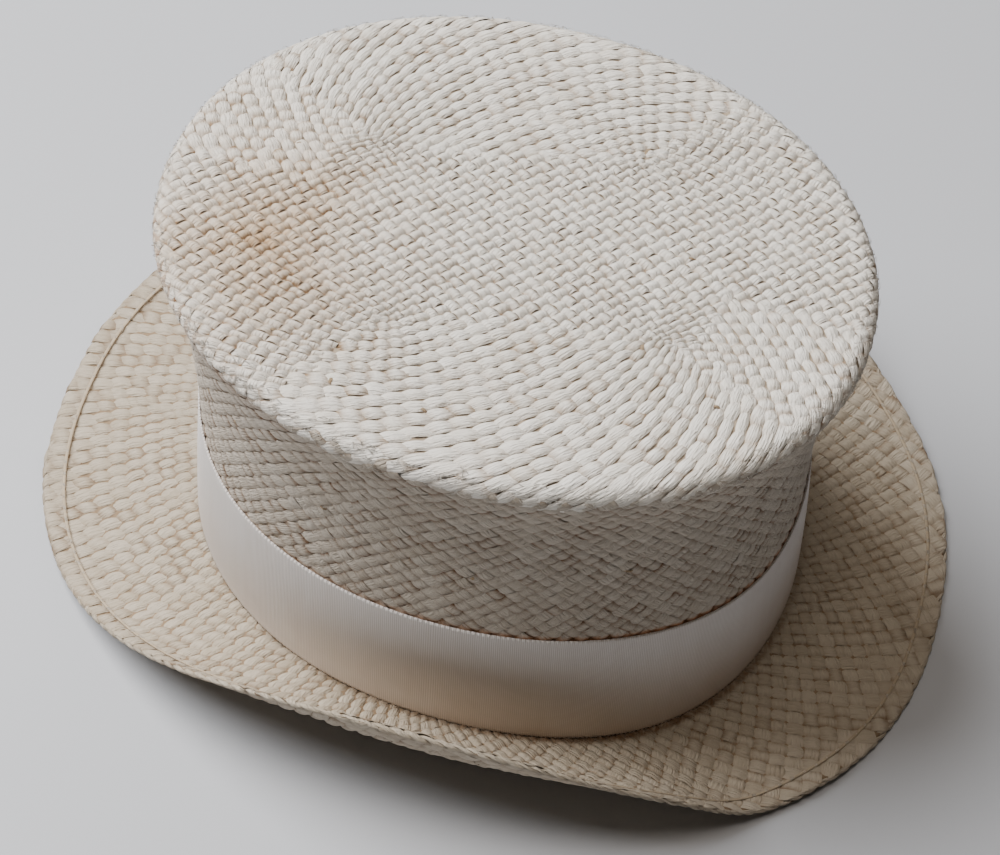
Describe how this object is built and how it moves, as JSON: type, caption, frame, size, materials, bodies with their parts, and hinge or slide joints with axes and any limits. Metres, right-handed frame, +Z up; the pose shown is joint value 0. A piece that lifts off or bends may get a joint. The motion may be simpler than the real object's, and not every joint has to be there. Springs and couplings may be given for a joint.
{
  "type": "straw top hat",
  "caption": "Woven straw top hat with a flat oval crown flared at its top edge, a ribbed ribbon round its foot and a brim curled up along both sides.",
  "frame": {"origin": "on the floor, under the middle of the brim", "axes": "+Z up through the crown, +X along the long axis from back to front"},
  "size_m": [0.3012, 0.2432, 0.1424],
  "materials": {
    "crown_straw": "bleached woven straw, matt",
    "brim_straw": "cream woven straw, matt",
    "ribbon": "ribbed cream ribbon, satin"
  },
  "bodies": {
    "root": {"crown": "crown_straw", "brim": "brim_straw", "hat_band": "ribbon"}
  },
  "joints": []
}
